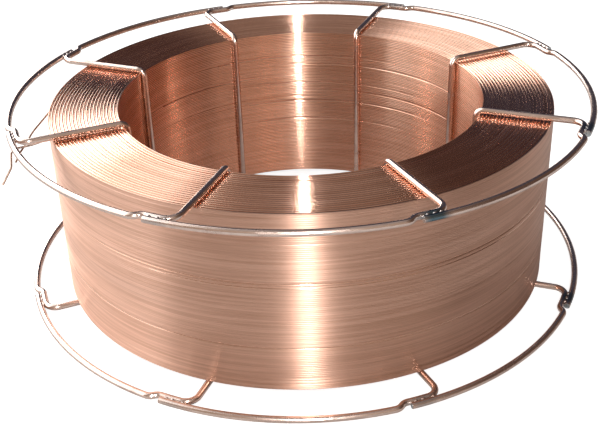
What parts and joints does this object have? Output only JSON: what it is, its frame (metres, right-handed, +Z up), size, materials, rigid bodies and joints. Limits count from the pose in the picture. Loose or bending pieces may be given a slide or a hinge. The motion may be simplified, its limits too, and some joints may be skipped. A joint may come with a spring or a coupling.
{
  "type": "spool of welding wire",
  "caption": "Wire basket spool holding a close-wound, copper-coated coil of welding wire, with a wide open bore for a hub adapter.",
  "frame": {"origin": "on the spool's axis, in the plane that the lower rim stands on", "axes": "+Z up along the spool's axis, out of the end that faces up"},
  "size_m": [0.3, 0.3, 0.0984],
  "materials": {
    "welding_wire": "drawn steel wire with a thin bright copper coating",
    "basket_wire": "drawn steel wire with a thin, duller copper coating, and bare steel at the cut ends"
  },
  "bodies": {
    "root": {"wire_coil": "welding_wire", "wire_finish_end": "welding_wire", "wire_start_end": "welding_wire", "basket_wire_1": "basket_wire", "basket_wire_2": "basket_wire", "basket_wire_3": "basket_wire", "basket_wire_4": "basket_wire", "basket_wire_5": "basket_wire", "basket_wire_6": "basket_wire", "basket_wire_7": "basket_wire", "basket_wire_8": "basket_wire"}
  },
  "joints": []
}
